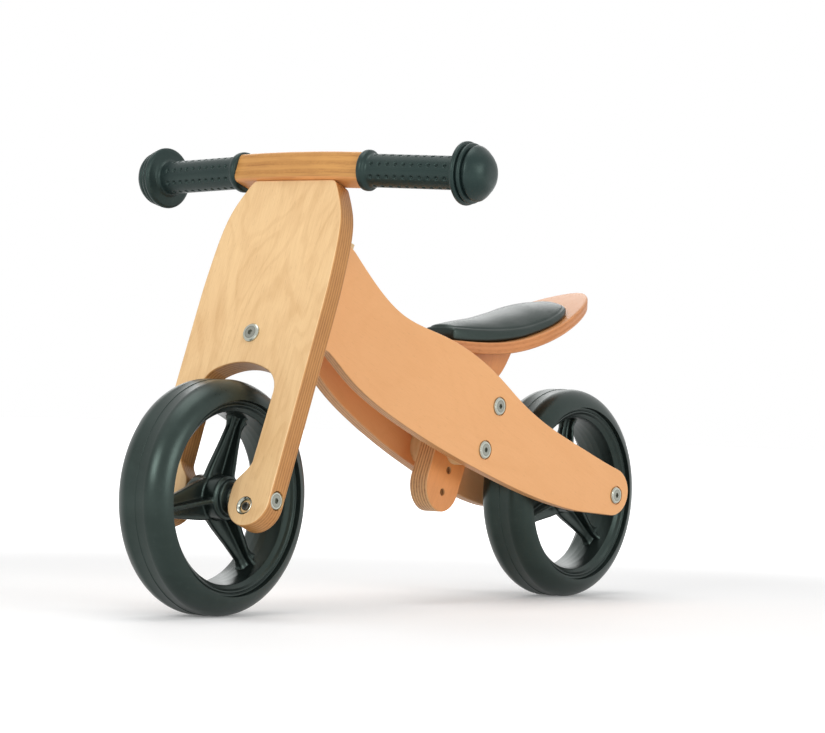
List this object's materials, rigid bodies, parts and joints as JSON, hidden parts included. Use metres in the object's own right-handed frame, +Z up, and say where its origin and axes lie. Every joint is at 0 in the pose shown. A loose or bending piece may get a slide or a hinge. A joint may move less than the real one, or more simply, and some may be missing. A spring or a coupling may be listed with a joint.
{
  "type": "balance bike",
  "caption": "Child's wooden balance bike: plywood fork panel with a bent handlebar and rubber grips, twin side plates, padded seat on a bolted post, two spoked wheels.",
  "frame": {"origin": "on the ground, midway between the two axles, on the middle plane", "axes": "+X forward towards the front wheel, +Y to the rider's left, +Z up"},
  "size_m": [0.65, 0.3514, 0.3701],
  "materials": {
    "birch_panel": "satin",
    "plate_wood": "satin",
    "ply_wood": "satin",
    "pale_wood": "satin",
    "tyre_rubber": "matte",
    "wheel_plastic": "matte",
    "grip_rubber": "matte",
    "bush_nylon": "matte",
    "fastener_steel": "polished",
    "pad_leather": "satin"
  },
  "bodies": {
    "frame": {"side_plate_left": "plate_wood", "side_plate_right": "plate_wood", "head_block": "pale_wood", "kingpin_bush_lower": "bush_nylon", "kingpin_bush_upper": "bush_nylon", "seat_post": "ply_wood", "post_spacer_upper_left": "pale_wood", "post_spacer_upper_right": "pale_wood", "post_spacer_lower_left": "pale_wood", "post_spacer_lower_right": "pale_wood", "post_bolts": "fastener_steel", "post_nuts": "fastener_steel", "seat_board": "ply_wood", "seat_screws": "fastener_steel", "seat_pad": "pad_leather", "rear_axle_spacer_left": "bush_nylon", "rear_axle_spacer_right": "bush_nylon", "rear_axle_bolt": "fastener_steel", "rear_axle_nut": "fastener_steel"},
    "fork": {"fork_panel": "birch_panel", "fork_foot_screws": "fastener_steel", "handlebar": "birch_panel", "handlebar_screws": "fastener_steel", "grip_left": "grip_rubber", "grip_right": "grip_rubber", "steering_bracket_lower": "fastener_steel", "steering_bracket_upper": "fastener_steel", "steering_bracket_screws": "fastener_steel", "panel_bolt": "fastener_steel", "panel_nut": "fastener_steel", "kingpin": "fastener_steel", "kingpin_nut": "fastener_steel", "kingpin_washers": "fastener_steel", "front_axle_bolt": "fastener_steel", "front_axle_nut": "fastener_steel", "front_axle_washers": "fastener_steel"},
    "front_wheel": {"front_tyre": "tyre_rubber", "front_rim": "wheel_plastic", "front_wheel_bushes": "bush_nylon"},
    "rear_wheel": {"rear_tyre": "tyre_rubber", "rear_rim": "wheel_plastic", "rear_wheel_bushes": "bush_nylon"}
  },
  "joints": [
    {"name": "steering", "type": "hinge", "parent": "frame", "child": "fork", "pos_m": [0.11837, 0, 0.25549], "axis": [-0.3584, 0, 0.9336], "range_deg": [-40, 40]},
    {"name": "front_wheel_spin", "type": "hinge", "parent": "fork", "child": "front_wheel", "pos_m": [0.234, 0, 0.091], "axis": [0, 1, 0], "continuous": true},
    {"name": "rear_wheel_spin", "type": "hinge", "parent": "frame", "child": "rear_wheel", "pos_m": [-0.234, 0, 0.091], "axis": [0, 1, 0], "continuous": true}
  ]
}
